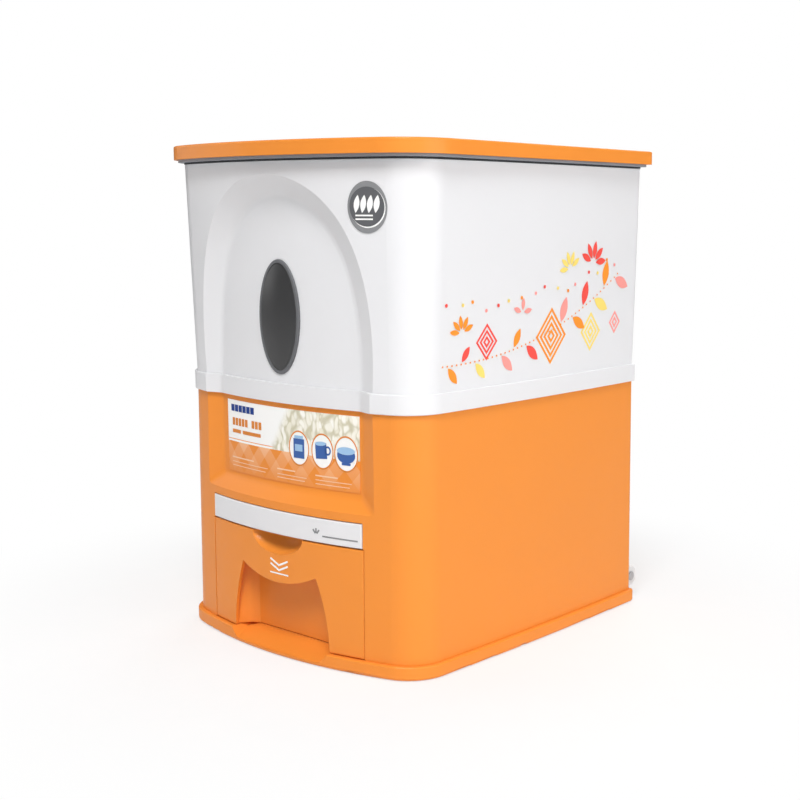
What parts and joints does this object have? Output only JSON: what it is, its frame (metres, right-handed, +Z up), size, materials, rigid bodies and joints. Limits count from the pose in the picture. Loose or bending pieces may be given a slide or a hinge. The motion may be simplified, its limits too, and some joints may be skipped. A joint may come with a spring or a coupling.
{
  "type": "rice storage bin",
  "caption": "Upright rice storage bin with a hinged lid, a level window, a slide gate under the hopper and a pull-out drawer, on small rubber feet with rear rollers.",
  "frame": {"origin": "centre of the bin's bounding box in plan, on the floor", "axes": "+Z up, -Y towards the front with the drawer, +X to the right seen from the front"},
  "size_m": [0.3052, 0.3486, 0.42],
  "materials": {
    "orange_plastic": "orange moulded plastic, satin gloss",
    "white_plastic": "white moulded plastic, satin gloss",
    "inner_plastic": "natural white moulded plastic, matt",
    "grey_plastic": "grey moulded plastic, satin",
    "soft_rubber": "dark grey soft rubber",
    "steel": "zinc plated steel",
    "roller_plastic": "pale moulded plastic",
    "smoky_plastic": "smoky see-through plastic, polished",
    "label_print": "printed film with a picture of rice grains, a diamond check and three ringed pictures of kitchen ware",
    "badge_print": "oval printed film with rice grains"
  },
  "bodies": {
    "root": {"badge_sticker": "badge_print", "base_screws": "steel", "base_tray": "orange_plastic", "drawer_runner_left": "inner_plastic", "drawer_runner_right": "inner_plastic", "gate_rail_left": "inner_plastic", "gate_rail_right": "inner_plastic", "hinge_pins": "steel", "hopper_funnel": "inner_plastic", "joint_band": "white_plastic", "joint_screws": "steel", "label_sticker": "label_print", "lower_shell": "orange_plastic", "rail_screws": "steel", "roller_bracket_left": "inner_plastic", "roller_bracket_right": "inner_plastic", "roller_pin_left": "steel", "roller_pin_right": "steel", "rubber_feet": "soft_rubber", "upper_bin": "white_plastic", "window_bezel": "grey_plastic", "window_gasket": "soft_rubber", "window_lens": "smoky_plastic"},
    "lid": {"lid_cover": "orange_plastic", "lid_liner": "grey_plastic", "lid_seal": "soft_rubber", "lid_screws": "steel"},
    "gate": {"gate_strip": "white_plastic", "gate_blade": "inner_plastic", "gate_screws": "steel"},
    "drawer": {"drawer_front": "orange_plastic", "drawer_box": "inner_plastic", "drawer_screws": "steel"},
    "roller_left": {"rear_roller_left": "roller_plastic"},
    "roller_right": {"rear_roller_right": "roller_plastic"}
  },
  "joints": [
    {"name": "lid_hinge", "type": "hinge", "parent": "root", "child": "lid", "pos_m": [0, 0.16175, 0.3996], "axis": [-1, 0, 0], "range_deg": [0, 100]},
    {"name": "gate_slide", "type": "slide", "parent": "root", "child": "gate", "axis": [0, -1, 0], "range_m": [0, 0.06]},
    {"name": "drawer_slide", "type": "slide", "parent": "root", "child": "drawer", "axis": [0, -1, 0], "range_m": [0, 0.19]},
    {"name": "roller_left_spin", "type": "hinge", "parent": "root", "child": "roller_left", "pos_m": [-0.12875, 0.16445, 0.0221], "axis": [1, 0, 0], "continuous": true},
    {"name": "roller_right_spin", "type": "hinge", "parent": "root", "child": "roller_right", "pos_m": [0.12875, 0.16445, 0.0221], "axis": [1, 0, 0], "continuous": true}
  ]
}
